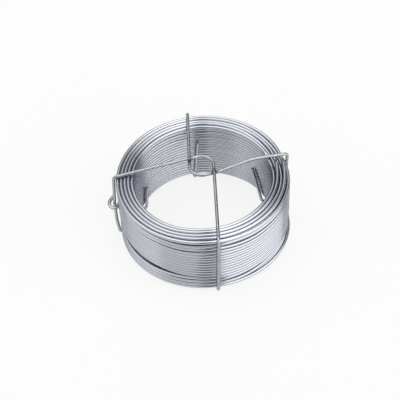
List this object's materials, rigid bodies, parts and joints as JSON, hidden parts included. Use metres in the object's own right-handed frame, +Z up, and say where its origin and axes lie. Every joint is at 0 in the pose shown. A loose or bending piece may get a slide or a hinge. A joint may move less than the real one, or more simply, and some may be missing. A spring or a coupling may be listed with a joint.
{
  "type": "coil of galvanised wire",
  "caption": "Round hand coil of bright galvanised steel wire, wound in even layers round an open bore and held by bent tie wires that cross over it in a small hanging ring.",
  "frame": {"origin": "on the bore's axis, at the level that the coil rests on", "axes": "+Z up along the bore's axis, -Y towards the front, +X to the right"},
  "size_m": [0.0943, 0.0919, 0.0418],
  "materials": {
    "galvanised_wire": "bright zinc coating, lightly drawn, satin to glossy",
    "tie_wire": "duller zinc-coated steel, heat-tinted where the ties are welded together"
  },
  "bodies": {
    "root": {"wire_coil": "galvanised_wire", "left_front_tie": "tie_wire", "back_right_tie": "tie_wire"}
  },
  "joints": []
}
